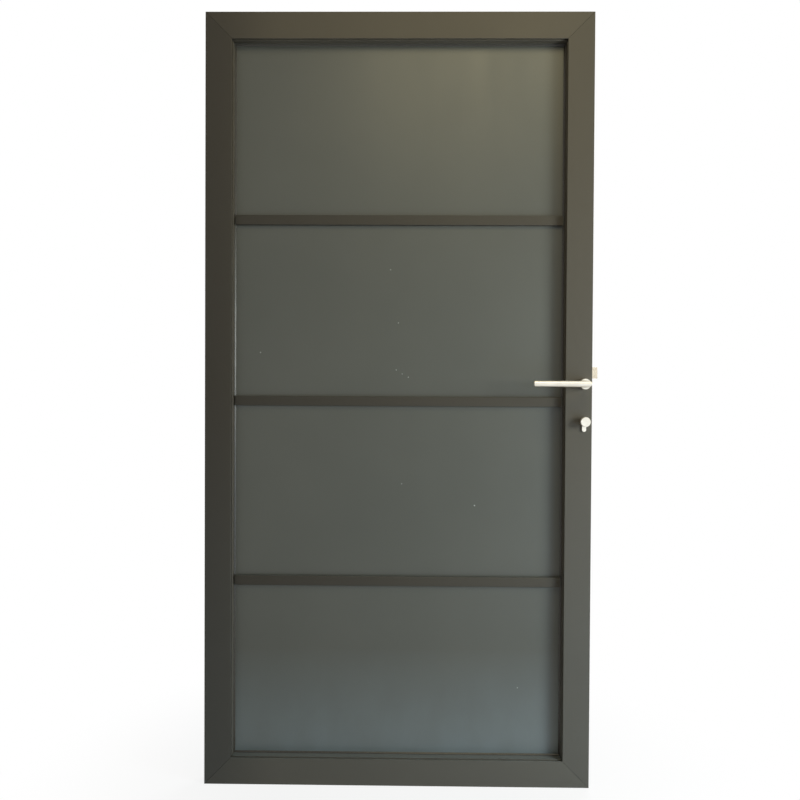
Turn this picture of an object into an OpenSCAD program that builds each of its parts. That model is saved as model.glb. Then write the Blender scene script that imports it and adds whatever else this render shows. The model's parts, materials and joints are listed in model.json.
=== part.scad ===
// Framed glass door leaf with bars, lever lock and butt hinges, in millimetres.
// X runs from the hinge edge to the lock edge, Y from the front face to the back face, Z up.
// The origin is the middle of the leaf's bottom edge, at half its thickness.

/* [Leaf] */
// Width of the leaf
leaf_w = 950; // [700:5:1200]
// Height of the leaf
leaf_h = 1900; // [1500:5:2300]
// Thickness of the leaf
leaf_d = 50; // [50:1:64]

/* [Frame profile] */
// Width of the profile's face
face_w = 65; // [62:1:80]
// Width of the glazing lip, which is the part of the face in front of the glass
lip_w = 18; // [16:1:20]
// Depth of the glazing lip, from the face to the gasket
lip_d = 29; // [22:1:30]
// Thickness of the profile's walls
wall = 2; // [1.6:0.1:3]
// Thickness of the outer edge wall, which takes the hinge plates and the lock's faceplate
edge_wall = 5; // [4.5:0.5:6]
// Thickness of the wall at the bottom of the glazing rebate
rebate_wall = 3; // [2.5:0.5:3.5]
// Thickness of the lip's front wall
lip_wall = 2.5; // [2:0.5:4]
// Width of the shadow groove behind the lip's front wall
groove_w = 7.5; // [4:0.5:9]
// Depth of the shadow groove
groove_d = 3; // [1:0.5:4]
// Rise of the inner lip past the face's edge
lip_rise = 1; // [0.5:0.5:2]
// Radius on the profile's long edges
edge_r = 1; // [0.5:0.1:1.2]
// Gap left at each mitre
mitre_gap = 0.3; // [0.1:0.1:0.6]
// Width of the drain slots in the bottom rail
drain_w = 6; // [4:1:8]
// Length of the drain slots
drain_l = 30; // [15:1:40]
// Length of a corner cleat's leg
cleat_leg = 90; // [60:5:110]
// Wall of a corner cleat
cleat_wall = 5; // [3:0.5:8]
// Play of a corner cleat in its chamber
cleat_play = 0.3; // [0.1:0.1:0.5]

/* [Glazing] */
// Thickness of the glass
glass_t = 6; // [4:1:7]
// How far the glass reaches behind the lip
glass_cover = 13; // [10:1:14]
// Thickness of the gaskets
gasket_t = 3; // [2:0.5:3.5]
// Width of the gaskets
gasket_w = 11; // [8:1:12]
// How far the front gasket shows past the inner lip
gasket_show = 0.8; // [0.2:0.2:2]
// Wall of the glazing beads
bead_wall = 1.5; // [1:0.1:2]
// Height of the bead's clip in its groove
clip_h = 1.2; // [0.8:0.1:1.6]
// Width of the bead's clip
clip_w = 2; // [1.5:0.1:3]
// Play of the clip in its groove
clip_play = 0.1; // [0.05:0.05:0.2]
// Length of a setting block
block_l = 100; // [60:5:120]
// Height of a glazing bar's face
bar_h = 24; // [16:1:40]
// Thickness of a glazing bar
bar_t = 10; // [6:1:12]
// Radius on a glazing bar's edges
bar_r = 1.5; // [0.5:0.1:2]
// Gap at a glazing bar's ends
bar_gap = 5; // [2:0.5:10]

/* [Lever] */
// Height of the lever's axis
lever_z = 995; // [900:5:1100]
// Distance of the lever's axis from the lock edge
backset = 20; // [19:0.5:21]
// Angle that the lever turns
lever_turn = 45; // [35:1:50]
// Diameter of the lever's bar and neck
lever_d = 16; // [14:1:20]
// Reach of the lever's bar from its axis to its free end
lever_l = 129; // [100:1:150]
// Distance of the bar's axis from the leaf's face
lever_out = 45; // [40:1:60]
// Chamfer at the lever's free end
lever_chamfer = 0.8; // [0.4:0.1:1.5]
// Diameter of the rose
rose_d = 26; // [24:1:32]
// Height of the rose
rose_h = 18; // [8:1:20]
// Wall of the rose's spigot in the leaf's face
spigot_wall = 2; // [1.5:0.5:2.5]
// Running clearance of the neck in its rose, and of the follower in the case
run_play = 0.1; // [0.05:0.05:0.1]
// Side of the square spindle
spindle_s = 8; // [7:1:9]
// Play of the spindle in its square holes
spindle_play = 0.05; // [0.02:0.01:0.1]
// Length of the spindle's end that sits in a lever, past the rose
spindle_in = 14; // [10:1:18]
// Radius of the grub screws
grub_r = 2.5; // [2:0.5:3]
// Gap between a rose and its grub screw
grub_gap = 3; // [2:0.5:5]

/* [Lock case] */
// Thickness of the faceplate
plate_t = 3; // [2:0.5:3]
// Width of the faceplate
plate_w = 22; // [20:1:26]
// Length of the faceplate
plate_h = 240; // [225:5:280]
// Thickness of the lock case
case_t = 18; // [16:1:19]
// Sheet thickness of the lock case
case_wall = 1.5; // [1:0.1:2]
// Play of the case in its slot and at the back of its chamber
case_play = 0.3; // [0.2:0.1:0.5]
// Free height over the latch bolt inside the case
case_head = 6; // [4:1:10]
// Depth of the case below the cylinder's axis
case_foot = 32; // [30:1:40]
// Radius of the follower's hub
hub_r = 11; // [10:0.5:12]
// Radius of the follower's journals
journal_r = 9; // [8:0.5:9.5]
// Width of the follower's arm
arm_w = 5; // [4:0.5:5]
// Thickness of the follower's arm
arm_t = 6; // [4:1:8]
// Gap between the arm's tip and the latch bolt's lug
lug_gap = 0.3; // [0.2:0.1:0.5]
// Height of the lug's underside over the arm's resting tip
lug_lift = 0.9; // [0.5:0.1:1.5]
// Gap between the arm's tip and the latch bolt's tail
tail_gap = 0.4; // [0.3:0.1:0.8]
// Thickness of the latch bolt's lug
lug_t = 5; // [3:0.5:6]
// Play of the bolts in the faceplate
bolt_play = 0.3; // [0.2:0.1:0.5]
// Thickness of the bolts
bolt_t = 12; // [10:0.5:13]
// How far the latch bolt stands out of the lock edge
latch_throw = 19; // [12:0.5:19]
// Height of the latch bolt
latch_h = 28; // [24:1:34]
// Height of the latch bolt's underside over the lever's axis
latch_low = 14; // [13:0.5:18]
// Thickness of the latch bolt's tip
latch_tip = 3; // [2:0.5:5]
// How far the dead bolt comes out of the lock edge
dead_throw = 20; // [12:1:20]
// Height of the dead bolt
dead_h = 24; // [18:1:28]
// Gap between the turning cam and the dead bolt
dead_gap = 2; // [1:0.5:4]
// Length of the dead bolt that stays inside the lock edge when it is out
dead_guide = 19; // [15:1:20]
// Radius of the posts that the case's cover is screwed to
post_r = 3; // [2.5:0.5:3]
// Distance of the rear posts from the case's walls
post_edge = 2; // [1.5:0.5:2.5]
// Distance of the front posts from the faceplate
post_front = 5; // [4:0.5:6]
// Distance of the upper posts below the lever's axis
post_drop = 28; // [20:1:40]
// Radius of the cover screws' shanks
cover_screw_r = 1.5; // [1.2:0.1:1.6]
// Radius of the cover screws' heads
cover_head_r = 2.6; // [2.4:0.1:2.6]
// Radius of the hexagon recess in a cover screw's head
cover_recess_r = 1; // [0.8:0.1:1.2]
// Length of a cover screw under its head
cover_screw_l = 8; // [5:1:10]

/* [Cylinder] */
// Distance from the lever's axis to the cylinder's axis
cylinder_drop = 92; // [85:1:100]
// How far the cylinder stands out of each face
cylinder_out = 5; // [2:0.5:8]
// Diameter of the cylinder's round head
cylinder_d = 17; // [16:0.5:18]
// Width of the cylinder's tail
tail_w = 10; // [9:0.5:11]
// Height of the whole cylinder profile
cylinder_h = 33; // [32:0.5:34]
// Play of the cylinder in its cut-outs
cylinder_play = 0.25; // [0.15:0.05:0.4]
// Radius of the plugs
plug_r = 5; // [4:0.5:6]
// Width of the cam
cam_w = 9.4; // [8:0.2:10]
// Radius of the cam's ring
cam_r = 8; // [7:0.5:8.5]
// Reach of the cam's tooth
cam_reach = 15; // [13:0.5:15]
// Width of the cam's tooth
tooth_w = 7; // [5:0.5:8]
// Rest angle of the cam's tooth, from straight down
tooth_rest = 30; // [0:5:60]
// Clearance round the cam
cam_play = 0.3; // [0.2:0.1:0.6]
// Diameter of the knob
knob_d = 24; // [20:1:32]
// Thickness of the knob's disc
knob_t = 13; // [8:1:18]
// Radius of the knob's neck
knob_neck_r = 6.5; // [6.5:0.5:8]
// Length of the knob's neck
knob_neck = 6; // [4:1:10]
// Chamfer on the knob's rims
knob_chamfer = 1.2; // [0.5:0.1:2]
// Gap between the knob's neck and the cylinder's face
knob_gap = 0.4; // [0.2:0.1:1]
// Width of the keyway
keyway_w = 1.6; // [1.2:0.1:2.4]
// Height of the keyway
keyway_h = 7; // [5:0.5:7.5]
// Depth of the keyway
keyway_l = 20; // [10:1:22]

/* [Hinges] */
// Height of a hinge
hinge_h = 100; // [90:5:120]
// Width of a hinge plate
hinge_w = 28; // [26:1:32]
// Thickness of a hinge plate
hinge_t = 3; // [2.5:0.5:3]
// Gap between a hinge's two plates
hinge_gap = 1.5; // [1:0.5:3]
// Distance of the outer hinges' middles from the leaf's ends
hinge_end = 200; // [180:5:300]
// Radius of the knuckles
knuckle_r = 6.5; // [6:0.5:8]
// Height of the leaf plate's knuckle
knuckle_h = 34; // [25:1:40]
// Gap between a bush's flange and the next knuckle
knuckle_gap = 0.3; // [0.2:0.1:0.5]
// Wall of the hinge bushes
bush_wall = 1; // [0.8:0.1:1.2]
// Thickness of the hinge bushes' flanges
bush_flange = 1; // [0.8:0.1:2]
// Gap between the two bushes in a knuckle
bush_gap = 1; // [0.5:0.5:2]
// Gap between the knuckles and the back of the leaf
knuckle_back = 0.6; // [0.5:0.1:2]
// Radius of the hinge pin
pin_r = 3.5; // [3:0.5:4]
// Radius of the pin's heads
pin_head_r = 5.5; // [5:0.5:6]
// Height of the pin's heads
pin_head_h = 2.5; // [1.5:0.5:4]
// Radial play of the pin in the frame plate's knuckles, and of the bushes in theirs
pin_seat = 0.05; // [0.02:0.01:0.08]
// Radius of a hinge plate's corners
hinge_corner_r = 4; // [2:0.5:6]
// Distance between the hinge screws, across the plate
hinge_pitch_y = 14; // [13:1:16]
// Distance between the hinge screws, along the plate
hinge_pitch_z = 72; // [60:1:76]

/* [Screws] */
// Radius of the screws' shanks
screw_r = 2.4; // [2:0.1:2.5]
// Radius of the screws' countersunk heads
screw_head_r = 4.6; // [4.4:0.1:4.8]
// Radius of the clearance holes in the plates
hole_r = 2.75; // [2.6:0.05:3]
// Radial play round a screw's shank and head
screw_play = 0.1; // [0.05:0.05:0.2]
// Length of a screw under its head
screw_l = 9; // [8:1:14]
// Radius of the hexagon recess in a screw's head
recess_r = 1.7; // [1.4:0.1:2]

/* [Hidden] */
$fn = 48;
over = 1;
half_d = leaf_d / 2;
half_w = leaf_w / 2;

// Frame profile, with depth measured in Y and width from the outer edge
box_w = face_w - lip_w;
rebate_y = lip_d - half_d;
groove_y = [lip_wall - half_d, lip_wall + groove_w - half_d];
chamber_u = [edge_wall, box_w - rebate_wall];
chamber_y = [wall - half_d, half_d - wall];
opening_w = leaf_w - 2 * (face_w + lip_rise);
opening_h = leaf_h - 2 * (face_w + lip_rise);
mitre_cut = mitre_gap / sqrt(2);

// Glazing
glass_y = [rebate_y + gasket_t, rebate_y + gasket_t + glass_t];
glass_u = face_w - glass_cover;
bead_y = [glass_y[1] + gasket_t, half_d];
clip_y = bead_y[1] - (bead_y[1] - bead_y[0]) / 2;
bar_l = opening_w - 2 * bar_gap;
bar_pitch = (opening_h + bar_h) / 4;

// Lock, in a frame with the lever's axis at its origin and the lock edge at x = backset
case_x = [backset - (chamber_u[1] - case_play), backset - plate_t];
case_z = [-cylinder_drop - case_foot, latch_low + latch_h + case_head];
cavity_x = [case_x[0] + case_wall, case_x[1]];
cavity_y = [case_wall - case_t / 2, case_t / 2 - case_wall];
plate_z = (case_z[0] + case_z[1]) / 2;
plate_screw_z = (plate_h + case_z[1] - case_z[0]) / 4;
arm_lean = lever_turn / 2;
arm_tip_r = arm_w / 2;
arm_l = latch_throw / (2 * sin(arm_lean));
lug_x = arm_l * sin(arm_lean) - arm_tip_r - lug_gap;
lug_z = arm_l * cos(arm_lean) + lug_lift;
tail_z = arm_l + arm_tip_r + tail_gap;
tail_x = min(cavity_x[0] + latch_throw + case_play, lug_x - lug_t);
latch_z = [latch_low, latch_low + latch_h];
latch_x = [case_x[1], backset + latch_throw];
bevel_l = latch_throw - latch_tip;
dead_z = [cam_reach + dead_gap - cylinder_drop, cam_reach + dead_gap + dead_h - cylinder_drop];
dead_x = [backset - dead_throw - dead_guide, backset];
post_xs = [cavity_x[0] + post_edge, cavity_x[1] - post_front];
post_zs = [case_z[0] + case_wall + post_edge, -post_drop];
neck_y = half_d + lever_out;
grub_y = half_d + rose_h + grub_gap + grub_r;
spindle_l = 2 * (half_d + rose_h + spindle_in);
rose_in = wall;
spigot_r = lever_d / 2 + spigot_wall;

// Cylinder
cylinder_l = leaf_d + 2 * cylinder_out;
tail_r = tail_w / 2;
tail_low = cylinder_h - cylinder_d / 2 - tail_r;
cam_slot = cam_w / 2 + cam_play;
cylinder_screw_z = -(cam_reach + cam_play + cylinder_h - cylinder_d / 2) / 2;
knob_y = -half_d - cylinder_out - knob_gap;

// Hinges
hinge_zs = [hinge_end, leaf_h / 2, leaf_h - hinge_end];
hinge_y = half_d - hinge_w / 2;
pin_x = -half_w - hinge_gap / 2;
pin_y = half_d + knuckle_back + knuckle_r;
leaf_plate_x = [-half_w, hinge_t - half_w];
frame_plate_x = [-half_w - hinge_gap - hinge_t, -half_w - hinge_gap];
leaf_bore_r = pin_r + run_play + bush_wall + pin_seat;

powder = "#4d4b45";
satin_glass = "#5c625d";
stainless = "#c9c7c0";
zinc = "#b9ab90";
sheet_steel = "#8b8d8e";
cast_alloy = "#a2a4a5";
black_rubber = "#1b1b1a";
block_plastic = "#38424a";

// Shapes from ranges: each range is a pair, lowest value first

module rect(x, y) {
    translate([x[0], y[0]]) square([x[1] - x[0], y[1] - y[0]]);
}

module round_rect(x, y, r) {
    rect([x[0] + r, x[1] - r], y);
    rect(x, [y[0] + r, y[1] - r]);
    for (cx = [x[0] + r, x[1] - r], cy = [y[0] + r, y[1] - r])
        translate([cx, cy]) circle(r);
}

module stadium(width, height) {
    square([width, height - width], center = true);
    for (side = [-1, 1]) translate([0, side * (height - width) / 2]) circle(width / 2);
}

module box(x, y, z) {
    translate([x[0], y[0], z[0]]) cube([x[1] - x[0], y[1] - y[0], z[1] - z[0]]);
}

// Extrusions of a flat outline: across X it is drawn in Y and Z, across Y in X and Z

module across_x(x) {
    translate([x[0], 0, 0]) rotate([90, 0, 90]) linear_extrude(x[1] - x[0]) children();
}

module across_y(y) {
    translate([0, y[1], 0]) rotate([90, 0, 0]) linear_extrude(y[1] - y[0]) children();
}

module rod_x(r, x) {
    translate([x[0], 0, 0]) rotate([0, 90, 0]) cylinder(r = r, h = x[1] - x[0]);
}

module rod_y(r, y) {
    translate([0, y[0], 0]) rotate([-90, 0, 0]) cylinder(r = r, h = y[1] - y[0]);
}

// Places on the leaf

module on_edge(angle, half_span) {
    translate([0, 0, leaf_h / 2]) rotate([0, angle, 0]) translate([0, 0, -half_span]) children();
}

module at_corner(x, z, angle) {
    translate([x, 0, z]) rotate([0, angle, 0]) children();
}

module at_lock() {
    translate([half_w - backset, 0, lever_z]) children();
}

module at_cylinder() {
    at_lock() translate([0, 0, -cylinder_drop]) children();
}

// Frame profile, drawn with depth along the first axis and width along the second

module frame_section() {
    difference() {
        union() {
            round_rect([-half_d, half_d], [0, box_w], edge_r);
            round_rect([-half_d, groove_y[0]], [0, face_w], edge_r);
            rect([-half_d + edge_r, groove_y[1] + edge_r], [box_w - edge_r, face_w - groove_d]);
            round_rect([groove_y[1], rebate_y], [box_w - 2 * edge_r, face_w + lip_rise], edge_r);
        }
        rect(chamber_y, chamber_u);
        rect([groove_y[0], rebate_y - wall], [box_w, face_w - groove_d - wall]);
        rect([groove_y[1] + wall, rebate_y - wall], [box_w, face_w + lip_rise - wall]);
        rect(
            [clip_y - clip_w / 2 - clip_play, clip_y + clip_w / 2 + clip_play],
            [box_w - clip_h - clip_play, box_w + over]
        );
    }
}

module mitre_wedge(length, height) {
    across_y([-half_d - over, half_d + over]) polygon([
        [mitre_cut - length / 2, 0],
        [length / 2 - mitre_cut, 0],
        [length / 2 - mitre_cut - height, height],
        [mitre_cut + height - length / 2, height]
    ]);
}

module mitred(length) {
    intersection() {
        across_x([-length / 2, length / 2]) children();
        mitre_wedge(length, face_w + lip_rise + gasket_show + over);
    }
}

module lock_cuts() {
    at_lock() {
        translate([0, 0, plate_z]) across_x([backset - plate_t, backset + over])
            stadium(plate_w + 2 * case_play, plate_h + 2 * case_play);
        box(
            [cavity_x[0], backset],
            [-case_t / 2 - case_play, case_t / 2 + case_play],
            [case_z[0] - case_play, case_z[1] + case_play]
        );
        at_plate_screws() rod_x(screw_r + screw_play, [backset - edge_wall - over, backset]);
        rod_y(spigot_r + run_play, [-half_d - over, half_d + over]);
    }
    at_cylinder() across_y([-half_d - over, half_d + over]) cylinder_outline(cylinder_play);
}

module hinge_cuts() {
    for (z = hinge_zs) translate([0, 0, z]) {
        across_x([-half_w - over, leaf_plate_x[1]]) round_rect(
            [half_d - hinge_w - case_play, half_d + hinge_corner_r + over],
            [-hinge_h / 2 - case_play, hinge_h / 2 + case_play],
            hinge_corner_r
        );
        at_hinge_screws() rod_x(screw_r + screw_play, [-half_w, edge_wall + over - half_w]);
    }
}

module hinge_stile() color(powder) difference() {
    on_edge(90, half_w) mitred(leaf_h) frame_section();
    hinge_cuts();
}

module lock_stile() color(powder) difference() {
    on_edge(270, half_w) mitred(leaf_h) frame_section();
    lock_cuts();
}

module top_rail() color(powder) on_edge(180, leaf_h / 2) mitred(leaf_w) frame_section();

module bottom_rail() color(powder) difference() {
    on_edge(0, leaf_h / 2) mitred(leaf_w) frame_section();
    for (side = [-1, 1]) translate([side * leaf_w / 8, half_d / 2, -over]) rotate(90)
        linear_extrude(box_w + 2 * over) stadium(drain_w, drain_l);
}

// Corner cleat, cut from an extruded hollow angle that fills both chambers at a mitre

module cleat() {
    lo = chamber_u[0] + cleat_play;
    hi = chamber_u[1] - cleat_play;
    color(cast_alloy) across_y([chamber_y[0] + cleat_play, chamber_y[1] - cleat_play]) difference() {
        union() {
            rect([lo, cleat_leg], [lo, hi]);
            rect([lo, hi], [lo, cleat_leg]);
        }
        rect([lo + cleat_wall, hi - cleat_wall], [lo + cleat_wall, hi - cleat_wall]);
        rect([hi, cleat_leg - cleat_wall], [lo + cleat_wall, hi - cleat_wall]);
        rect([lo + cleat_wall, hi - cleat_wall], [hi, cleat_leg - cleat_wall]);
    }
}

// Glazing

module glass_pane() color(satin_glass) box(
    [glass_u - half_w, half_w - glass_u], glass_y, [glass_u, leaf_h - glass_u]
);

module edge_strips(y, u) {
    for (angle = [0, 180]) on_edge(angle, leaf_h / 2) mitred(leaf_w) rect(y, u);
    for (angle = [90, 270]) on_edge(angle, half_w) mitred(leaf_h) rect(y, u);
}

module front_gasket() {
    inner = face_w + lip_rise + gasket_show;
    color(black_rubber) edge_strips([rebate_y, glass_y[0]], [inner - gasket_w, inner]);
}

module rear_gasket() {
    color(black_rubber) edge_strips([glass_y[1], bead_y[0]], [face_w - gasket_w, face_w]);
}

module setting_block(x) {
    box([x - block_l / 2, x + block_l / 2], glass_y, [box_w, glass_u]);
}

module setting_blocks() color(block_plastic) {
    for (side = [-1, 1], angle = [0, 180])
        on_edge(angle, leaf_h / 2) setting_block(side * leaf_w / 4);
    for (side = [-1, 1], angle = [90, 270])
        on_edge(angle, half_w) setting_block(side * leaf_h / 4);
}

module bead(length) {
    color(powder) across_x([-length / 2, length / 2]) difference() {
        union() {
            rect([bead_y[0], bead_y[1] - edge_r], [box_w, face_w]);
            rect(bead_y, [box_w, face_w - edge_r]);
            translate([bead_y[1] - edge_r, face_w - edge_r]) circle(edge_r);
            rect([clip_y - clip_w / 2, clip_y + clip_w / 2], [box_w - clip_h, box_w + over]);
        }
        rect(
            [bead_y[0] + bead_wall, bead_y[1] - bead_wall],
            [box_w + bead_wall, face_w - bead_wall]
        );
    }
}

module rail_bead(angle) on_edge(angle, leaf_h / 2) bead(leaf_w - 2 * box_w);

module stile_bead(angle) on_edge(angle, half_w) bead(leaf_h - 2 * face_w);

module glazing_bar(y, step) {
    z = leaf_h / 2 + step * bar_pitch;
    color(powder) across_x([-bar_l / 2, bar_l / 2])
        round_rect(y, [z - bar_h / 2, z + bar_h / 2], bar_r);
}

module front_bar(step) glazing_bar([glass_y[0] - bar_t, glass_y[0]], step);

module rear_bar(step) glazing_bar([glass_y[1], glass_y[1] + bar_t], step);

// Lock

module case_bores(y) {
    rod_y(journal_r + run_play, y);
    translate([0, 0, -cylinder_drop]) across_y(y) cylinder_outline(cylinder_play);
}

module at_posts() {
    for (x = post_xs, z = post_zs) translate([x, 0, z]) children();
}

module at_cover_screws() {
    at_posts() translate([0, case_t / 2, 0]) rotate(-90) children();
}

module lock_case() color(sheet_steel) at_lock() difference() {
    union() {
        difference() {
            box(case_x, [-case_t / 2, cavity_y[1]], case_z);
            box(
                [cavity_x[0], cavity_x[1] + over],
                [cavity_y[0], cavity_y[1] + over],
                [case_z[0] + case_wall, case_z[1] - case_wall]
            );
        }
        at_posts() rod_y(post_r, [-case_t / 2, cavity_y[1]]);
    }
    case_bores([-case_t / 2 - over, 0]);
    at_posts() rod_y(cover_screw_r + screw_play, [cavity_y[0], cavity_y[1] + over]);
}

module lock_cover() color(sheet_steel) at_lock() difference() {
    box(case_x, [cavity_y[1], case_t / 2], case_z);
    case_bores([0, case_t / 2 + over]);
    at_cover_screws()
        countersunk_hole(case_wall, cover_screw_r, cover_head_r, cover_screw_r + screw_play);
}

module cover_screws() color(stainless) at_lock() at_cover_screws()
    countersunk_screw(cover_screw_l, cover_screw_r, cover_head_r, cover_recess_r);

module bolt_window(z) {
    box(
        [case_x[1] - over, backset + over],
        [-bolt_t / 2 - bolt_play, bolt_t / 2 + bolt_play],
        [z[0] - bolt_play, z[1] + bolt_play]
    );
}

module at_plate_screws() {
    for (side = [-1, 1]) translate([0, 0, plate_z + side * plate_screw_z]) children();
}

module at_cylinder_screw() {
    translate([0, 0, cylinder_screw_z - cylinder_drop]) children();
}

module lock_faceplate() color(stainless) at_lock() difference() {
    translate([0, 0, plate_z]) across_x([backset - plate_t, backset]) stadium(plate_w, plate_h);
    bolt_window(latch_z);
    bolt_window(dead_z);
    at_plate_screws() translate([backset, 0, 0]) mirror([1, 0, 0]) countersunk_hole(plate_t);
    at_cylinder_screw() translate([backset, 0, 0]) mirror([1, 0, 0]) countersunk_hole(plate_t);
}

// Countersunk hole and screw, with the head's face at the origin and the shank along +X

module countersunk_hole(thickness, r = screw_r, head_r = screw_head_r, clear_r = hole_r) {
    cone_h = head_r - r;
    rod_x(clear_r, [-over, thickness + over]);
    rotate([0, 90, 0])
        cylinder(r1 = head_r + screw_play, r2 = clear_r, h = cone_h + r + screw_play - clear_r);
    rod_x(head_r + screw_play, [-over, 0]);
}

module countersunk_screw(length, r = screw_r, head_r = screw_head_r, recess = recess_r) {
    cone_h = head_r - r;
    difference() {
        union() {
            rotate([0, 90, 0]) cylinder(r1 = head_r, r2 = r, h = cone_h);
            rod_x(r, [cone_h, cone_h + length]);
        }
        rotate([0, 90, 0]) cylinder(r = recess, h = cone_h / 2, $fn = 6);
    }
}

module faceplate_screws() color(stainless) at_lock() at_plate_screws()
    translate([backset, 0, 0]) mirror([1, 0, 0]) countersunk_screw(screw_l);

module cylinder_screw() color(stainless) at_lock() at_cylinder_screw()
    translate([backset, 0, 0]) mirror([1, 0, 0]) countersunk_screw(backset + tail_r / 2);

module latch_bolt() color(zinc) at_lock() {
    difference() {
        union() {
            box(latch_x, [-bolt_t / 2, bolt_t / 2], latch_z);
            box([tail_x, latch_x[0] + over], [-bolt_t / 2, bolt_t / 2], [tail_z, latch_z[1]]);
            box([lug_x - lug_t, lug_x], [-arm_t / 2, arm_t / 2], [lug_z, tail_z + over]);
        }
        translate([0, 0, latch_z[0] - over]) linear_extrude(latch_h + 2 * over) polygon([
            [latch_x[1] - bevel_l, -bolt_t / 2 - over],
            [latch_x[1] - bevel_l, -bolt_t / 2],
            [latch_x[1], bolt_t / 2 - latch_tip],
            [latch_x[1] + over, bolt_t / 2 - latch_tip],
            [latch_x[1] + over, -bolt_t / 2 - over]
        ]);
    }
}

module dead_bolt() color(stainless) at_lock() box(dead_x, [-bolt_t / 2, bolt_t / 2], dead_z);

module square_hole(y) {
    side = spindle_s / 2 + spindle_play;
    box([-side, side], y, [-side, side]);
}

module follower() color(sheet_steel) at_lock() difference() {
    union() {
        rod_y(hub_r, [cavity_y[0] + case_play, cavity_y[1] - case_play]);
        rod_y(journal_r, [-case_t / 2, case_t / 2]);
        rotate([0, arm_lean, 0]) {
            box([-arm_w / 2, arm_w / 2], [-arm_t / 2, arm_t / 2], [0, arm_l]);
            translate([0, 0, arm_l]) rod_y(arm_tip_r, [-arm_t / 2, arm_t / 2]);
        }
    }
    square_hole([-case_t, case_t]);
}

module spindle() color(sheet_steel) at_lock() cube([spindle_s, spindle_l, spindle_s], center = true);

// Lever set: the front pieces, and the same turned round for the back

module rose() {
    color(stainless) difference() {
        union() {
            rod_y(rose_d / 2, [-half_d - rose_h + lever_chamfer, -half_d]);
            translate([0, -half_d - rose_h, 0]) rotate([-90, 0, 0]) cylinder(
                r1 = rose_d / 2 - lever_chamfer, r2 = rose_d / 2, h = lever_chamfer
            );
            rod_y(spigot_r, [-half_d - over, rose_in - half_d]);
        }
        rod_y(lever_d / 2 + run_play, [-half_d - rose_h - over, rose_in + over - half_d]);
    }
}

module lever() {
    r = lever_d / 2;
    corner = 2 * lever_d;
    color(stainless) difference() {
        union() {
            difference() {
                rod_y(r, [-neck_y - r, rose_in - half_d]);
                translate([0, -neck_y, 0]) rotate([0, 0, -45]) box(
                    [-corner, corner], [-corner, 0], [-corner, corner]
                );
            }
            difference() {
                translate([0, -neck_y, 0]) rod_x(r, [lever_chamfer - lever_l, r]);
                translate([0, -neck_y, 0]) rotate([0, 0, -45]) box(
                    [-corner, corner], [0, corner], [-corner, corner]
                );
            }
            translate([-lever_l, -neck_y, 0]) rotate([0, 90, 0])
                cylinder(r1 = r - lever_chamfer, r2 = r, h = lever_chamfer);
        }
        square_hole([-spindle_l / 2, 0]);
        translate([0, -grub_y, -r - over]) cylinder(r = grub_r + screw_play, h = r + over);
    }
}

module grub_screw() {
    r = lever_d / 2;
    color(sheet_steel) difference() {
        translate([0, -grub_y, -r]) cylinder(r = grub_r, h = r - spindle_s / 2);
        translate([0, -grub_y, -r - over]) cylinder(r = grub_r / 2, h = over + grub_r / 2, $fn = 6);
    }
}

module both_faces() {
    children();
    mirror([0, 1, 0]) children();
}

module front_rose() at_lock() rose();

module rear_rose() at_lock() mirror([0, 1, 0]) rose();

module front_lever() at_lock() lever();

module rear_lever() at_lock() mirror([0, 1, 0]) lever();

module grub_screws() at_lock() both_faces() grub_screw();

// Euro-profile cylinder, round its plugs' axis

module cylinder_outline(play) {
    circle(cylinder_d / 2 + play);
    rect([-tail_r - play, tail_r + play], [-tail_low, 0]);
    translate([0, -tail_low]) circle(tail_r + play);
}

module cylinder_body() color(stainless) at_cylinder() difference() {
    across_y([-cylinder_l / 2, cylinder_l / 2]) cylinder_outline(0);
    rod_y(plug_r + run_play, [-cylinder_l / 2 - over, cylinder_l / 2 + over]);
    box(
        [-cylinder_d, cylinder_d],
        [-cam_slot, cam_slot],
        [-cam_reach - cam_play, cylinder_d]
    );
    translate([0, 0, cylinder_screw_z]) rod_x(screw_r + screw_play, [-cylinder_d, cylinder_d]);
}

module key_plug() color(zinc) at_cylinder() difference() {
    rod_y(plug_r, [cam_slot, cylinder_l / 2]);
    box(
        [-keyway_w / 2, keyway_w / 2],
        [cylinder_l / 2 - keyway_l, cylinder_l / 2 + over],
        [-keyway_h / 2, keyway_h / 2]
    );
}

module cylinder_cam() color(zinc) at_cylinder() difference() {
    union() {
        rod_y(cam_r, [-cam_w / 2, cam_w / 2]);
        intersection() {
            rotate([0, tooth_rest, 0])
                box([-tooth_w / 2, tooth_w / 2], [-cam_w / 2, cam_w / 2], [-cam_reach, 0]);
            rod_y(cam_reach, [-cam_w, cam_w]);
        }
    }
    rod_y(plug_r + pin_seat, [-cam_w, cam_w]);
}

module thumb_knob() color(stainless) at_cylinder() {
    rod_y(plug_r, [knob_y - over, cam_w / 2]);
    translate([0, knob_y, 0]) rotate([90, 0, 0]) rotate_extrude() polygon([
        [0, 0],
        [knob_neck_r, 0],
        [knob_neck_r, knob_neck],
        [knob_d / 2 - knob_chamfer, knob_neck],
        [knob_d / 2, knob_neck + knob_chamfer],
        [knob_d / 2, knob_neck + knob_t - knob_chamfer],
        [knob_d / 2 - knob_chamfer, knob_neck + knob_t],
        [0, knob_neck + knob_t]
    ]);
}

// Hinges, each round its own middle height

module at_hinge_screws() {
    for (sy = [-0.5, 0.5], sz = [-0.5, 0.5])
        translate([0, hinge_y + sy * hinge_pitch_y, sz * hinge_pitch_z]) children();
}

module knuckle(plate_x, z) {
    translate([pin_x, pin_y, z[0]]) cylinder(r = knuckle_r, h = z[1] - z[0]);
    box(plate_x, [half_d - over, pin_y], z);
}

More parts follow.
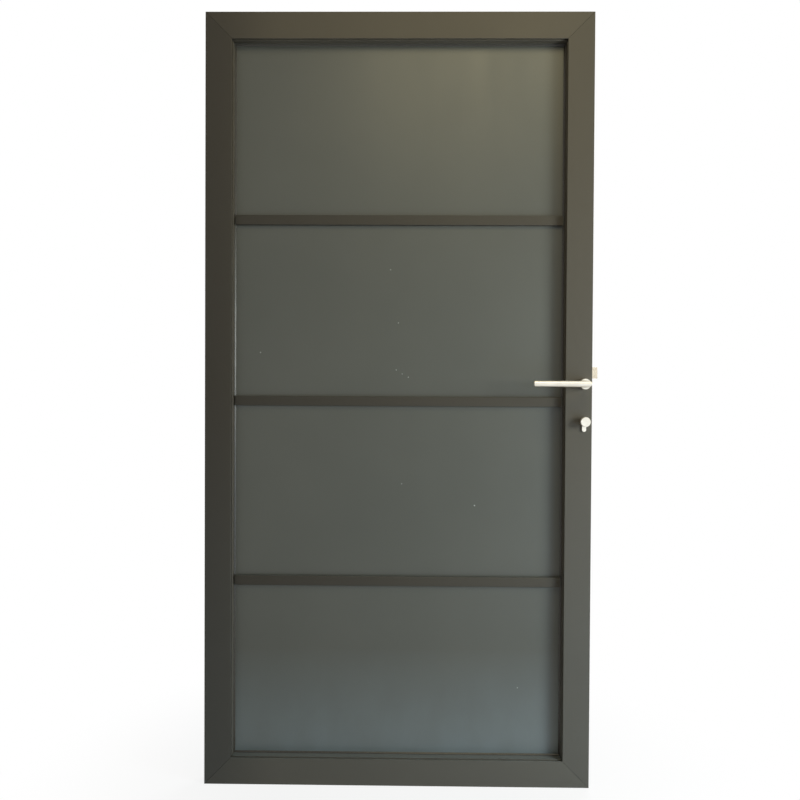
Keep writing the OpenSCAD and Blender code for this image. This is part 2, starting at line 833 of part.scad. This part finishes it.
module hinge_plate(plate_x) {
    across_x(plate_x) difference() {
        round_rect(
            [half_d - hinge_w, half_d + hinge_corner_r],
            [-hinge_h / 2, hinge_h / 2],
            hinge_corner_r
        );
        rect([half_d, half_d + 2 * hinge_corner_r], [-hinge_h, hinge_h]);
    }
}

module pin_bore(r) {
    translate([pin_x, pin_y, -hinge_h]) cylinder(r = r, h = 2 * hinge_h);
}

module hinge_leaf(z) color(stainless) translate([0, 0, z]) difference() {
    union() {
        hinge_plate(leaf_plate_x);
        knuckle(leaf_plate_x, [-knuckle_h / 2, knuckle_h / 2]);
    }
    pin_bore(leaf_bore_r);
    at_hinge_screws() translate([-half_w, 0, 0]) countersunk_hole(hinge_t);
}

module hinge_frame(z) color(stainless) translate([0, 0, z]) difference() {
    union() {
        hinge_plate(frame_plate_x);
        knuckle(frame_plate_x, [-hinge_h / 2, -knuckle_h / 2 - bush_flange - knuckle_gap]);
        knuckle(frame_plate_x, [knuckle_h / 2 + bush_flange + knuckle_gap, hinge_h / 2]);
    }
    pin_bore(pin_r + pin_seat);
    at_hinge_screws() translate([frame_plate_x[1], 0, 0]) mirror([1, 0, 0]) countersunk_hole(hinge_t);
}

module hinge_pin(z) color(stainless) translate([pin_x, pin_y, z]) {
    translate([0, 0, -hinge_h / 2]) cylinder(r = pin_r, h = hinge_h);
    for (low = [-hinge_h / 2 - pin_head_h, hinge_h / 2])
        translate([0, 0, low]) cylinder(r = pin_head_r, h = pin_head_h);
}

module hinge_bush() rotate_extrude() {
    rect([pin_r + run_play, leaf_bore_r - pin_seat], [bush_gap / 2, knuckle_h / 2 + bush_flange / 2]);
    rect([pin_r + run_play, knuckle_r], [knuckle_h / 2, knuckle_h / 2 + bush_flange]);
}

module hinge_bushes() color(block_plastic) for (z = hinge_zs) translate([pin_x, pin_y, z]) {
    hinge_bush();
    mirror([0, 0, 1]) hinge_bush();
}

module hinge_screws() color(stainless) for (z = hinge_zs) translate([-half_w, 0, z])
    at_hinge_screws() countersunk_screw(screw_l);

hinge_stile();
lock_stile();
top_rail();
bottom_rail();
at_corner(-half_w, 0, 0) cleat();  // cleat_bottom_left
at_corner(-half_w, leaf_h, 90) cleat();  // cleat_top_left
at_corner(half_w, leaf_h, 180) cleat();  // cleat_top_right
at_corner(half_w, 0, 270) cleat();  // cleat_bottom_right
glass_pane();
front_gasket();
rear_gasket();
setting_blocks();
rail_bead(0);  // bead_bottom
stile_bead(90);  // bead_left
rail_bead(180);  // bead_top
stile_bead(270);  // bead_right
front_bar(-1);  // front_bar_lower
front_bar(0);  // front_bar_middle
front_bar(1);  // front_bar_upper
rear_bar(-1);  // rear_bar_lower
rear_bar(0);  // rear_bar_middle
rear_bar(1);  // rear_bar_upper
lock_case();
lock_cover();
cover_screws();
lock_faceplate();
faceplate_screws();
latch_bolt();
dead_bolt();
follower();
spindle();
front_rose();
rear_rose();
front_lever();
rear_lever();
grub_screws();
cylinder_body();
key_plug();
cylinder_cam();
thumb_knob();
cylinder_screw();
hinge_leaf(hinge_zs[0]);  // hinge_leaf_lower
hinge_leaf(hinge_zs[1]);  // hinge_leaf_middle
hinge_leaf(hinge_zs[2]);  // hinge_leaf_upper
hinge_frame(hinge_zs[0]);  // hinge_frame_lower
hinge_frame(hinge_zs[1]);  // hinge_frame_middle
hinge_frame(hinge_zs[2]);  // hinge_frame_upper
hinge_pin(hinge_zs[0]);  // hinge_pin_lower
hinge_pin(hinge_zs[1]);  // hinge_pin_middle
hinge_pin(hinge_zs[2]);  // hinge_pin_upper
hinge_bushes();
hinge_screws();
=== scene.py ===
"""Looks of a framed glass door: the finish of every piece, marks on the glass, and a plain studio."""
import json
import math

import bmesh
import bpy
from mathutils import Matrix, Vector


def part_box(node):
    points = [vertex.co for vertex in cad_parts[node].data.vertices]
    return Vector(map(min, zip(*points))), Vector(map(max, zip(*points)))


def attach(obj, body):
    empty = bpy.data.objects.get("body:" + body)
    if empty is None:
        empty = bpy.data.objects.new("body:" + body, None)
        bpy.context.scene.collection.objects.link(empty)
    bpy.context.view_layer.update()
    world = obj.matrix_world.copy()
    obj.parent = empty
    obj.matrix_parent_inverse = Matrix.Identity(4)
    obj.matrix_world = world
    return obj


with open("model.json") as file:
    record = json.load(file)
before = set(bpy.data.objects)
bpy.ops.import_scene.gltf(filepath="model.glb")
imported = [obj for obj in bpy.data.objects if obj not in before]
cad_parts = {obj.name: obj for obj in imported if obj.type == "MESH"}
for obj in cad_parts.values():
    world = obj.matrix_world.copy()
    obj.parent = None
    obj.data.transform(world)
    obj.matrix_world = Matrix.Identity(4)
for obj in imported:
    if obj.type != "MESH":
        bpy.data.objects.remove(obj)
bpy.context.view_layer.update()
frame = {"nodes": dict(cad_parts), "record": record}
nodes = frame["nodes"]

MM = 0.001
# Colour sockets of a mix node, by number, because its other sockets have the same names
MIX_FIRST = 6
MIX_SECOND = 7
MIX_RESULT = 2


class Finish:
    """A material built round one Principled shader, with textures in the part's own metres."""

    def __init__(self, name, **constants):
        self.material = bpy.data.materials.new(name)
        self.material.use_nodes = True
        self.tree = self.material.node_tree
        self.shader = self.tree.nodes["Principled BSDF"]
        coordinates = self.tree.nodes.new("ShaderNodeTexCoord")
        self.place = coordinates.outputs["Object"]
        self.facing = coordinates.outputs["Normal"]
        for socket, value in constants.items():
            self.shader.inputs[socket.replace("_", " ")].default_value = value

    def node(self, kind, links=None, values=None, **settings):
        """A new node with its settings, its fixed inputs and the sockets linked to it."""
        made = self.tree.nodes.new(kind)
        for key, value in settings.items():
            setattr(made, key, value)
        for socket, value in (values or {}).items():
            made.inputs[socket].default_value = value
        for socket, source in (links or {}).items():
            self.tree.links.new(source, made.inputs[socket])
        return made

    def stretched(self, scale):
        """The part's coordinates, scaled along each axis."""
        return self.node("ShaderNodeMapping", {"Vector": self.place}, {"Scale": scale}).outputs["Vector"]

    def noise(self, scale, detail=3.0, roughness=0.55, place=None):
        """Noise from 0 to 1, with about scale features to the metre."""
        values = {"Scale": scale, "Detail": detail, "Roughness": roughness}
        made = self.node("ShaderNodeTexNoise", {"Vector": place or self.place}, values)
        return made.outputs["Fac"]

    def ranged(self, source, low, high, start=0.3, end=0.7, ease="LINEAR"):
        """A texture's start to end, turned into low to high."""
        values = {"From Min": start, "From Max": end, "To Min": low, "To Max": high}
        made = self.node("ShaderNodeMapRange", {"Value": source}, values, interpolation_type=ease)
        return made.outputs["Result"]

    def axes(self, source=None):
        """A vector's X, Y and Z, which are the part's own coordinates where no other is given."""
        made = self.node("ShaderNodeSeparateXYZ", {"Vector": source or self.place})
        return [made.outputs[axis] for axis in "XYZ"]

    def blend(self, factor, first, second):
        """Two colours, mixed by a factor. Either one may be a socket."""
        made = self.node("ShaderNodeMix", {"Factor": factor}, data_type="RGBA")
        for slot, colour in ((MIX_FIRST, first), (MIX_SECOND, second)):
            if isinstance(colour, tuple):
                made.inputs[slot].default_value = (*colour, 1.0)
            else:
                self.tree.links.new(colour, made.inputs[slot])
        return made.outputs[MIX_RESULT]

    def math(self, operation, first, second=0.0):
        """One sum on two values. Either one may be a socket."""
        made = self.node("ShaderNodeMath", operation=operation)
        for slot, value in enumerate((first, second)):
            if isinstance(value, float):
                made.inputs[slot].default_value = value
            else:
                self.tree.links.new(value, made.inputs[slot])
        return made.outputs["Value"]

    def set(self, socket, source):
        """Links a source to one of the shader's own sockets."""
        self.tree.links.new(source, self.shader.inputs[socket])

    def bump(self, height, depth, strength=0.5):
        """Surface relief of a given depth in metres."""
        values = {"Strength": strength, "Distance": depth}
        made = self.node("ShaderNodeBump", {"Height": height}, values)
        self.set("Normal", made.outputs["Normal"])


# Powder coat of the frame and the bars

COAT_DARK = (0.055, 0.047, 0.034)
COAT_LIGHT = (0.075, 0.065, 0.048)
# Painted light and shade of the coat: its levels at the hinge side, in painted shade, and away from it, in
# painted light, and the X over which one becomes the other. The rails' higher levels are a painted sheen,
# the bars' lower ones painted shade
STILE_PAINTED_LIGHT = (0.61, 1.11)
RAIL_PAINTED_LIGHT = (0.75, 1.25)
BAR_PAINTED_LIGHT = (0.57, 0.85)
FRAME_PAINTED_LIGHT_FADE = (-0.46, -0.28)
BAR_PAINTED_LIGHT_FADE = (-0.50, 0.36)
# How far a face's normal has to lie along an axis: where it starts to count, and where it fully does
FACE_SLOPE = (0.7, 0.95)
# Specks and clouds to the metre, the noise levels at which a speck turns light, and the clouds' share
COAT_GRAIN = 1400.0
COAT_GRAIN_STEP = (0.35, 0.65)
COAT_CLOUD = 5.0
COAT_CLOUD_SHARE = 0.35
COAT_GLOSS = 0.28
COAT_ROUGHNESS = (0.5, 0.6)
COAT_RELIEF = 0.06 * MM
COAT_RELIEF_STRENGTH = 0.6
# Hairline of a mitre: its colour, its share at the middle, and the half widths of its core and of all of it
SEAM_COLOUR = (0.012, 0.010, 0.008)
SEAM_SHARE = 0.6
SEAM_CORE = 0.225 * MM
SEAM_WIDTH = 0.9 * MM
# Bluish tone: its colour, its share on upward faces, where it is partly dusting and partly painted light
# from above, and the share and fading heights of a painted reflection of the pale ground low on the frame
DUST_AND_LIGHT_COLOUR = (0.34, 0.42, 0.45)
LEDGE_DUST_AND_LIGHT = 0.18
BAR_DUST_AND_LIGHT = 0.14
LOW_REFLECTION_SHARE = 0.045
LOW_REFLECTION_HEIGHTS = (0.1, 0.95)


def coat_colour(f, grain, cloud, tone):
    """The coat's dark and lighter specks on a slightly uneven ground, at one level of painted light."""
    dark, light = (tuple(tone * c for c in colour) for colour in (COAT_DARK, COAT_LIGHT))
    speck = f.blend(f.ranged(grain, 0.0, 1.0, *COAT_GRAIN_STEP), dark, light)
    return f.blend(f.ranged(cloud, 0.0, COAT_CLOUD_SHARE), speck, light)


def painted_light_share(f, fade):
    """1 where the coat takes its painted light: away from the hinges, and on faces that look sideways."""
    across, _, _ = f.axes()
    sideways, _, _ = f.axes(f.facing)
    away = f.ranged(across, 0.0, 1.0, *fade, ease="SMOOTHSTEP")
    side = f.ranged(f.math("ABSOLUTE", sideways), 0.0, 1.0, *FACE_SLOPE)
    return f.math("MAXIMUM", away, side)


def seam_share(f):
    """The share of the hairline where the mitred ends of the frame meet."""
    _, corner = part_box("top_rail")
    half_width, half_height = corner[0], corner[2] / 2
    x, _, z = f.axes()
    inwards = f.math("SUBTRACT", half_width, f.math("ABSOLUTE", x))
    rise = f.math("ABSOLUTE", f.math("SUBTRACT", z, half_height))
    upwards = f.math("SUBTRACT", half_height, rise)
    apart = f.math("ABSOLUTE", f.math("SUBTRACT", inwards, upwards))
    return f.ranged(apart, SEAM_SHARE, 0.0, SEAM_CORE, SEAM_WIDTH)


def powder_coat(name, tones, fade=FRAME_PAINTED_LIGHT_FADE, mitred=False, ledge_dust_and_light=0.0):
    """Matt powder coat with a fine grain, in painted shade near the hinges and painted light away from
    them, and on its ledges a bluish tone that is partly dusting and partly painted light from above.
    """
    f = Finish(name, Metallic=0.0, Specular_IOR_Level=COAT_GLOSS)
    grain = f.noise(COAT_GRAIN, detail=2.0)
    cloud = f.noise(COAT_CLOUD, detail=4.0)
    deep, pale = (coat_colour(f, grain, cloud, tone) for tone in tones)
    # Painted shade towards the hinges, painted light towards the lock side and on faces that look sideways
    colour = f.blend(painted_light_share(f, fade), deep, pale)
    # Upward faces turn bluish: partly dusting, partly painted light from above
    if ledge_dust_and_light:
        _, _, upward = f.axes(f.facing)
        colour = f.blend(f.ranged(upward, 0.0, ledge_dust_and_light, *FACE_SLOPE), colour, DUST_AND_LIGHT_COLOUR)
    if mitred:
        # Painted reflection of the pale ground: bluish, fading upwards from the foot of the frame
        _, _, height = f.axes()
        colour = f.blend(f.ranged(height, LOW_REFLECTION_SHARE, 0.0, *LOW_REFLECTION_HEIGHTS), colour, DUST_AND_LIGHT_COLOUR)
        colour = f.blend(seam_share(f), colour, SEAM_COLOUR)
    f.set("Base Color", colour)
    f.set("Roughness", f.ranged(cloud, *COAT_ROUGHNESS))
    f.bump(grain, COAT_RELIEF, COAT_RELIEF_STRENGTH)
    return f.material


# Glass

GLASS_DARK = (0.076, 0.077, 0.063)
GLASS_LIGHT = (0.089, 0.089, 0.073)
GLASS_IOR = 1.5
GLASS_ROUGHNESS = (0.36, 0.46)
GLASS_CLOUD = 2.2
# Wipe marks to the metre along each axis
WIPES = (9.0, 1.0, 1.6)
ETCH = 2600.0
ETCH_RELIEF = 0.01 * MM
ETCH_STRENGTH = 0.4
# Painted reflection of the pale ground at the foot of the glass, bluish and blotchy: its share, the heights
# over which it fades, and its blotches
FOOT_REFLECTION = 0.28
FOOT_REFLECTION_HEIGHTS = (0.065, 0.33)
BLOTCHES = 14.0
BLOTCH_STRETCH = (1.0, 1.0, 0.5)
BLOTCH_SHARE = (0.75, 1.0)
# Dried specks: their colour, how ragged they are, and the part of the radius that is solid
SPECK_COLOUR = (0.42, 0.43, 0.40)
SPECK_RAGS = 420.0
SPECK_WOBBLE = 2.4 * MM
SPECK_CORE = 0.6
# Places of the specks on the glass, X and Z in metres, with each one's radius in millimetres
SPECKS = (
    (-0.020, 1.277, 1.5),
    (0.000, 1.145, 1.4),
    (-0.344, 1.070, 1.8),
    (-0.005, 1.028, 1.5),
    (0.010, 1.018, 1.2),
    (0.025, 1.010, 1.6),
    (0.010, 0.744, 1.6),
    (0.192, 0.691, 2.0),
    (0.302, 0.235, 1.4),
)


def speck_share(f):
    """1 on the small dried specks on the front of the glass, with ragged edges."""
    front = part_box("glass_pane")[0][1]
    rags = f.node("ShaderNodeTexNoise", {"Vector": f.place}, {"Scale": SPECK_RAGS, "Detail": 2.0})
    sway = Vector((SPECK_WOBBLE,) * 3)
    links = {0: rags.outputs["Color"], 2: f.place}
    wobble = f.node("ShaderNodeVectorMath", links, {1: sway}, operation="MULTIPLY_ADD")
    links = {0: wobble.outputs["Vector"]}
    share = 0.0
    for x, z, radius in SPECKS:
        middle = Vector((x, front, z)) + sway / 2
        away = f.node("ShaderNodeVectorMath", links, {1: middle}, operation="DISTANCE")
        spot = f.ranged(away.outputs["Value"], 1.0, 0.0, SPECK_CORE * radius * MM, radius * MM)
        share = f.math("MAXIMUM", share, spot)
    return share


def satin_glass():
    """Dark grey-green glass with an etched, satin face that shows faint wipe marks and, low down, a blotchy
    painted reflection of the pale ground.
    """
    f = Finish("satin_glass", Metallic=0.0, IOR=GLASS_IOR)
    cloud = f.noise(GLASS_CLOUD, detail=3.0)
    wipes = f.noise(1.0, detail=5.0, place=f.stretched(WIPES))
    etch = f.noise(ETCH, detail=1.0)
    blotch = f.noise(BLOTCHES, detail=3.0, place=f.stretched(BLOTCH_STRETCH))
    _, _, height = f.axes()
    # Painted reflection of the pale ground: bluish blotches that fade upwards from the foot of the glass
    low = f.ranged(height, FOOT_REFLECTION, 0.0, *FOOT_REFLECTION_HEIGHTS)
    reflection_share = f.math("MULTIPLY", low, f.ranged(blotch, *BLOTCH_SHARE))
    tint = f.blend(f.ranged(cloud, 0.0, 1.0), GLASS_DARK, GLASS_LIGHT)
    reflected_tint = f.blend(reflection_share, tint, DUST_AND_LIGHT_COLOUR)
    f.set("Base Color", f.blend(speck_share(f), reflected_tint, SPECK_COLOUR))
    f.set("Roughness", f.ranged(wipes, *GLASS_ROUGHNESS))
    f.bump(etch, ETCH_RELIEF, ETCH_STRENGTH)
    return f.material


# Metals, rubber and plastic

# Brush lines to the metre along each axis
ALONG_X = (40.0, 2600.0, 2600.0)
ALONG_Z = (2600.0, 2600.0, 40.0)
BRUSH_CLOUD = 60.0
BRUSH_STEP = (0.1, 0.4)
BRUSH_RELIEF = 0.02 * MM
MOTTLE = 240.0
MOTTLE_RELIEF = 0.03 * MM
SKIN = 700.0
SKIN_RELIEF = 0.03 * MM
SKIN_GLOSS = 0.5
# Least and most that a surface's roughness departs from its own value
BRUSH_SPREAD = (-0.05, 0.08)
MOTTLE_SPREAD = (-0.06, 0.08)
SKIN_SPREAD = (-0.06, 0.06)


def brushed_steel(name, dark, light, rough, brushed):
    """Metal with fine brush lines along the axis on which brushed is smallest."""
    f = Finish(name, Metallic=1.0)
    lines = f.noise(1.0, detail=4.0, place=f.stretched(brushed))
    cloud = f.noise(BRUSH_CLOUD, detail=3.0)
    uneven = f.math("MULTIPLY", lines, cloud)
    f.set("Base Color", f.blend(f.ranged(lines, 0.0, 1.0), dark, light))
    f.set("Roughness", f.ranged(uneven, *(rough + step for step in BRUSH_SPREAD), *BRUSH_STEP))
    f.bump(lines, BRUSH_RELIEF)
    return f.material


def plain_metal(name, dark, light, rough):
    """Cast or rolled metal with a mottled skin."""
    f = Finish(name, Metallic=1.0)
    mottle = f.noise(MOTTLE, detail=4.0)
    f.set("Base Color", f.blend(f.ranged(mottle, 0.0, 1.0), dark, light))
    f.set("Roughness", f.ranged(mottle, *(rough + step for step in MOTTLE_SPREAD)))
    f.bump(mottle, MOTTLE_RELIEF)
    return f.material


def soft_plastic(name, dark, light, rough, relief=SKIN_RELIEF, gloss=SKIN_GLOSS):
    """Rubber or plastic with a fine skin."""
    f = Finish(name, Metallic=0.0, Specular_IOR_Level=gloss)
    skin = f.noise(SKIN, detail=3.0)
    f.set("Base Color", f.blend(f.ranged(skin, 0.0, 1.0), dark, light))
    f.set("Roughness", f.ranged(skin, *(rough + step for step in SKIN_SPREAD)))
    f.bump(skin, relief)
    return f.material


# Finish of every node, by its slot in the record, apart from those that have one of their own

FINISHES = {
    "powder_coat": powder_coat("powder_coat", STILE_PAINTED_LIGHT),
    "satin_glass": satin_glass(),
    "stainless": brushed_steel(
        "stainless",
        dark=(0.68, 0.64, 0.55),
        light=(0.82, 0.78, 0.68),
        rough=0.32,
        brushed=ALONG_X,
    ),
    "lock_steel": plain_metal(
        "lock_steel",
        dark=(0.34, 0.35, 0.36),
        light=(0.48, 0.49, 0.50),
        rough=0.42,
    ),
    "cleat_alloy": plain_metal(
        "cleat_alloy",
        dark=(0.50, 0.51, 0.52),
        light=(0.62, 0.63, 0.64),
        rough=0.45,
    ),
    "latch_metal": plain_metal(
        "latch_metal",
        dark=(0.235, 0.200, 0.162),
        light=(0.295, 0.256, 0.205),
        rough=0.36,
    ),
    "cylinder_brass": plain_metal(
        "cylinder_brass",
        dark=(0.52, 0.42, 0.24),
        light=(0.66, 0.55, 0.34),
        rough=0.34,
    ),
    "gasket_rubber": soft_plastic(
        "gasket_rubber",
        dark=(0.066, 0.062, 0.052),
        light=(0.092, 0.087, 0.074),
        rough=0.62,
    ),
    "block_plastic": soft_plastic(
        "block_plastic",
        dark=(0.035, 0.044, 0.052),
        light=(0.055, 0.066, 0.076),
        rough=0.5,
    ),
}
BAR_COAT = powder_coat("powder_coat_bars", BAR_PAINTED_LIGHT, fade=BAR_PAINTED_LIGHT_FADE, ledge_dust_and_light=BAR_DUST_AND_LIGHT)
STILE_COAT = powder_coat("powder_coat_stiles", STILE_PAINTED_LIGHT, mitred=True)
EDGE_STEEL = brushed_steel(
    "edge_steel",
    dark=(0.40, 0.39, 0.37),
    light=(0.54, 0.53, 0.50),
    rough=0.34,
    brushed=ALONG_Z,
)
OWN_FINISHES = {
    "hinge_stile": STILE_COAT,
    "lock_stile": STILE_COAT,
    "top_rail": powder_coat("powder_coat_top", RAIL_PAINTED_LIGHT, mitred=True),
    "bottom_rail": powder_coat("powder_coat_bottom", RAIL_PAINTED_LIGHT, mitred=True, ledge_dust_and_light=LEDGE_DUST_AND_LIGHT),
    "lock_faceplate": EDGE_STEEL,
}
for level in ("lower", "middle", "upper"):
    OWN_FINISHES[f"hinge_leaf_{level}"] = EDGE_STEEL
    OWN_FINISHES[f"hinge_frame_{level}"] = EDGE_STEEL
    OWN_FINISHES[f"front_bar_{level}"] = BAR_COAT
    OWN_FINISHES[f"rear_bar_{level}"] = BAR_COAT


def dress():
    """Gives every node its own finish, or else the finish of its slot in the record."""
    for row in frame["record"]["subparts"]:
        name = row["node"]
        materials = nodes[name].data.materials
        materials.clear()
        materials.append(OWN_FINISHES.get(name, FINISHES[row["material_slot"]]))


dress()

# Lip of the front gasket

LIP_WIDTH = 3.2 * MM
LIP_DEPTH = 2.85 * MM
LIP_BLUNT = 0.4 * MM
# Outline of the lip: how far into the opening, and how far out from the glass
LIP_PROFILE = (
    (0.0, 0.0),
    (LIP_WIDTH, 0.0),
    (LIP_WIDTH, LIP_BLUNT),
    (LIP_BLUNT, LIP_DEPTH),
    (0.0, LIP_DEPTH),
)
LIP_RUBBER = soft_plastic(
    "gasket_lip",
    dark=(0.034, 0.029, 0.021),
    light=(0.048, 0.042, 0.032),
    rough=0.28,
    relief=0.003 * MM,
    gloss=0.32,
)
# The bars that the lip stops at, from the lowest up
FRONT_BARS = ("front_bar_lower", "front_bar_middle", "front_bar_upper")
ACROSS = Vector((1.0, 0.0, 0.0))
FORWARDS = Vector((0.0, -1.0, 0.0))
UPWARDS = Vector((0.0, 0.0, 1.0))


def lip_run(mesh, start, end, inwards, cut_start, cut_end):
    """One length of the lip: a blunt wedge, wide side on the glass, mitred at each end that is cut."""
    along = (end - start).normalized()
    rings = []
    for corner, mitre in ((start, cut_start), (end, -cut_end)):
        ring = [corner + inwards * u + FORWARDS * v + along * u * mitre for u, v in LIP_PROFILE]
        rings.append([mesh.verts.new(point) for point in ring])
    first, last = rings
    for i in range(len(LIP_PROFILE)):
        j = (i + 1) % len(LIP_PROFILE)
        mesh.faces.new((first[i], first[j], last[j], last[i]))
    mesh.faces.new(first)
    mesh.faces.new(last)


def gasket_lip():
    """The sloping lip of the front gasket, which lies on the glass all round and stops at each bar."""
    seat = [v.co for v in nodes["front_gasket"].data.vertices]
    middle = sum(co.z for co in seat) / len(seat)
    left = max(co.x for co in seat if co.x < 0)
    right = min(co.x for co in seat if co.x > 0)
    low = max(co.z for co in seat if co.z < middle)
    high = min(co.z for co in seat if co.z > middle)
    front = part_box("glass_pane")[0][1]
    mesh = bmesh.new()
    for z, inwards in ((low, UPWARDS), (high, -UPWARDS)):
        start, end = Vector((left, front, z)), Vector((right, front, z))
        lip_run(mesh, start, end, inwards, cut_start=1.0, cut_end=1.0)
    bars = [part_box(name) for name in FRONT_BARS]
    starts = [low] + [top[2] for _, top in bars]
    ends = [bottom[2] for bottom, _ in bars] + [high]
    for z0, z1 in zip(starts, ends):
        cut_start, cut_end = float(z0 == low), float(z1 == high)
        for x, inwards in ((left, ACROSS), (right, -ACROSS)):
            start, end = Vector((x, front, z0)), Vector((x, front, z1))
            lip_run(mesh, start, end, inwards, cut_start, cut_end)
    bmesh.ops.recalc_face_normals(mesh, faces=mesh.faces)
    data = bpy.data.meshes.new("gasket_lip")
    mesh.to_mesh(data)
    mesh.free()
    data.materials.append(LIP_RUBBER)
    made = bpy.data.objects.new("gasket_lip", data)
    bpy.context.scene.collection.objects.link(made)
    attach(made, "leaf")


gasket_lip()

# Studio

CAMERA_PLACE = Vector((0.0294, -1.9867, 0.9823))
# Turns of the camera, positive towards the lock side, upwards and anticlockwise
CAMERA_YAW = math.radians(-0.706)
CAMERA_PITCH = math.radians(-0.837)
CAMERA_ROLL = math.radians(0.307)
LENS_MM = 36.0
SENSOR_MM = 36.0
VIEW_END = 100.0


def camera():
    """The camera at the photograph's place, from its three turns."""
    forward = Vector((
        math.sin(CAMERA_YAW) * math.cos(CAMERA_PITCH),
        math.cos(CAMERA_YAW) * math.cos(CAMERA_PITCH),
        math.sin(CAMERA_PITCH),
    ))
    level = Vector((math.cos(CAMERA_YAW), -math.sin(CAMERA_YAW), 0.0))
    upright = level.cross(forward)
    right = level * math.cos(CAMERA_ROLL) + upright * math.sin(CAMERA_ROLL)
    up = upright * math.cos(CAMERA_ROLL) - level * math.sin(CAMERA_ROLL)
    turn = Matrix((right, up, -forward)).transposed()
    data = bpy.data.cameras.new("camera")
    data.lens = LENS_MM
    data.sensor_width = SENSOR_MM
    data.clip_end = VIEW_END
    made = bpy.data.objects.new("camera", data)
    made.matrix_world = Matrix.Translation(CAMERA_PLACE) @ turn.to_4x4()
    bpy.context.scene.collection.objects.link(made)
    bpy.context.scene.camera = made


def soft_lamp(name, place, target, size, power, colour):
    """A soft box of size (width, height) that shines from place to target."""
    data = bpy.data.lights.new(name, "AREA")
    data.shape = "RECTANGLE"
    data.size, data.size_y = size
    data.energy = power
    data.color = colour
    made = bpy.data.objects.new(name, data)
    turn = (Vector(target) - Vector(place)).to_track_quat("-Z", "Y").to_matrix()
    made.matrix_world = Matrix.Translation(place) @ turn.to_4x4()
    made.visible_camera = False
    bpy.context.scene.collection.objects.link(made)


def background_share(tree):
    """1 for the rays that see the white background: camera, glossy and transmission rays."""
    path = tree.nodes.new("ShaderNodeLightPath")
    total = path.outputs["Is Camera Ray"]
    for other in ("Is Glossy Ray", "Is Transmission Ray"):
        add = tree.nodes.new("ShaderNodeMath")
        add.operation = "ADD"
        add.use_clamp = True
        tree.links.new(total, add.inputs[0])
        tree.links.new(path.outputs[other], add.inputs[1])
        total = add.outputs["Value"]
    return total


AMBIENT = (0.06, 0.06, 0.06, 1.0)
WHITE = (1.0, 1.0, 1.0, 1.0)


def white_world():
    """A white background that lights the object only softly."""
    world = bpy.data.worlds.new("studio")
    world.use_nodes = True
    tree = world.node_tree
    mix = tree.nodes.new("ShaderNodeMix")
    mix.data_type = "RGBA"
    mix.inputs[MIX_FIRST].default_value = AMBIENT
    mix.inputs[MIX_SECOND].default_value = WHITE
    tree.links.new(background_share(tree), mix.inputs["Factor"])
    tree.links.new(mix.outputs[MIX_RESULT], tree.nodes["Background"].inputs["Color"])
    bpy.context.scene.world = world


FLOOR_SIZE = 16.0
FLOOR_DROP = 0.2 * MM
FLOOR_COLOUR = (0.86, 0.88, 0.90, 1.0)
# Share of the white background in the floor near the door and away from it, and the distances between them
FLOOR_GLOW = (0.85, 1.0)
FLOOR_FADE = (0.25, 1.0)


def floor_material():
    """Matt and pale near the door, running into the white background away from it."""
    material = bpy.data.materials.new("floor")
    material.use_nodes = True
    tree = material.node_tree
    tree.nodes.remove(tree.nodes["Principled BSDF"])
    matt = tree.nodes.new("ShaderNodeBsdfDiffuse")
    matt.inputs["Color"].default_value = FLOOR_COLOUR
    glow = tree.nodes.new("ShaderNodeEmission")
    place = tree.nodes.new("ShaderNodeTexCoord")
    away = tree.nodes.new("ShaderNodeVectorMath")
    away.operation = "LENGTH"
    fade = tree.nodes.new("ShaderNodeMapRange")
    fade.interpolation_type = "SMOOTHSTEP"
    fade.inputs["From Min"].default_value, fade.inputs["From Max"].default_value = FLOOR_FADE
    fade.inputs["To Min"].default_value, fade.inputs["To Max"].default_value = FLOOR_GLOW
    share = tree.nodes.new("ShaderNodeMath")
    share.operation = "MULTIPLY"
    mix = tree.nodes.new("ShaderNodeMixShader")
    tree.links.new(place.outputs["Object"], away.inputs[0])
    tree.links.new(away.outputs["Value"], fade.inputs["Value"])
    tree.links.new(background_share(tree), share.inputs[0])
    tree.links.new(fade.outputs["Result"], share.inputs[1])
    tree.links.new(share.outputs["Value"], mix.inputs["Fac"])
    tree.links.new(matt.outputs["BSDF"], mix.inputs[1])
    tree.links.new(glow.outputs["Emission"], mix.inputs[2])
    tree.links.new(mix.outputs["Shader"], tree.nodes["Material Output"].inputs["Surface"])
    return material


def pale_floor():
    """A pale floor that keeps the door's soft shadow."""
    half = FLOOR_SIZE / 2
    corners = [(-half, -half, 0.0), (half, -half, 0.0), (half, half, 0.0), (-half, half, 0.0)]
    mesh = bpy.data.meshes.new("floor")
    mesh.from_pydata(corners, [], [(0, 1, 2, 3)])
    mesh.materials.append(floor_material())
    made = bpy.data.objects.new("floor", mesh)
    made.location.z = -FLOOR_DROP
    bpy.context.scene.collection.objects.link(made)


camera()
white_world()
pale_floor()
soft_lamp(
    "key",
    place=(0.35, -1.2, 2.4),
    target=(0.1, 0.0, 1.6),
    size=(0.9, 0.6),
    power=7.7,
    colour=(1.0, 0.86, 0.47),
)
soft_lamp(
    "fill",
    place=(1.5, -1.2, 0.4),
    target=(0.1, 0.0, 0.3),
    size=(0.7, 0.7),
    power=12.3,
    colour=(0.53, 0.73, 1.0),
)
soft_lamp(
    "side",
    place=(1.9, -1.2, 1.2),
    target=(0.1, 0.0, 0.6),
    size=(0.7, 0.7),
    power=35.0,
    colour=(0.93, 1.0, 0.96),
)
soft_lamp(
    "rear",
    place=(1.2, 2.2, 2.4),
    target=(0.0, 0.0, 1.0),
    size=(1.6, 1.6),
    power=60.0,
    colour=(1.0, 0.98, 0.95),
)
bpy.context.scene.view_settings.view_transform = "Standard"
